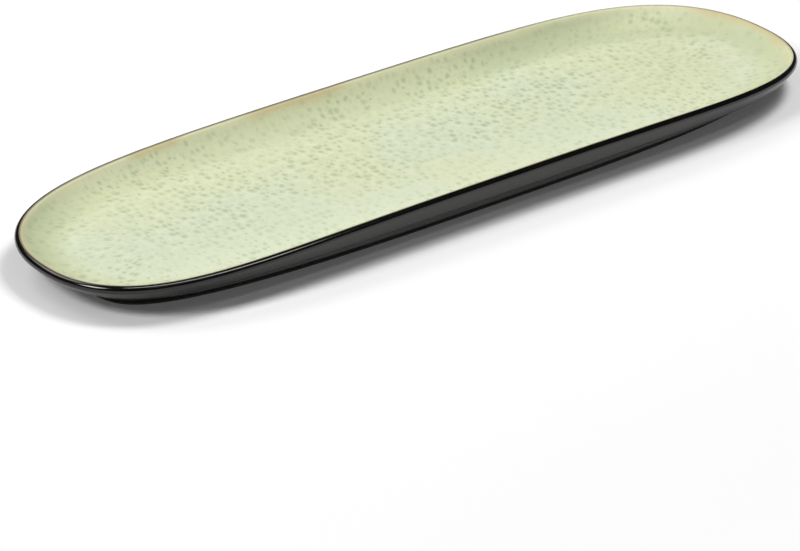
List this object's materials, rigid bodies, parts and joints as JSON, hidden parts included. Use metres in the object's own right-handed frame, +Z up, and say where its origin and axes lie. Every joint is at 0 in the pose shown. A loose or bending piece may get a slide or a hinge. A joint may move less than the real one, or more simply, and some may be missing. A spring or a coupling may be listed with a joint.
{
  "type": "long serving plate",
  "caption": "Long narrow stoneware serving plate with blunt round ends, a coved wall and a rounded lip, pale green glaze inside and gloss black outside, on a bare foot ring.",
  "frame": {"origin": "on the table, under the middle of the plate", "axes": "+X along the plate, +Y across it, +Z up out of the well"},
  "size_m": [0.478, 0.145, 0.0245],
  "materials": {
    "bare_stoneware": "fired buff stoneware, unglazed and dry to the touch",
    "celadon_glaze": "pale green satin glaze with soft darker dapples, thinning to tan at the lip",
    "black_glaze": "gloss black glaze"
  },
  "bodies": {
    "root": {"stoneware_body": "bare_stoneware", "inner_glaze": "celadon_glaze", "outer_glaze": "black_glaze", "base_glaze": "black_glaze"}
  },
  "joints": []
}
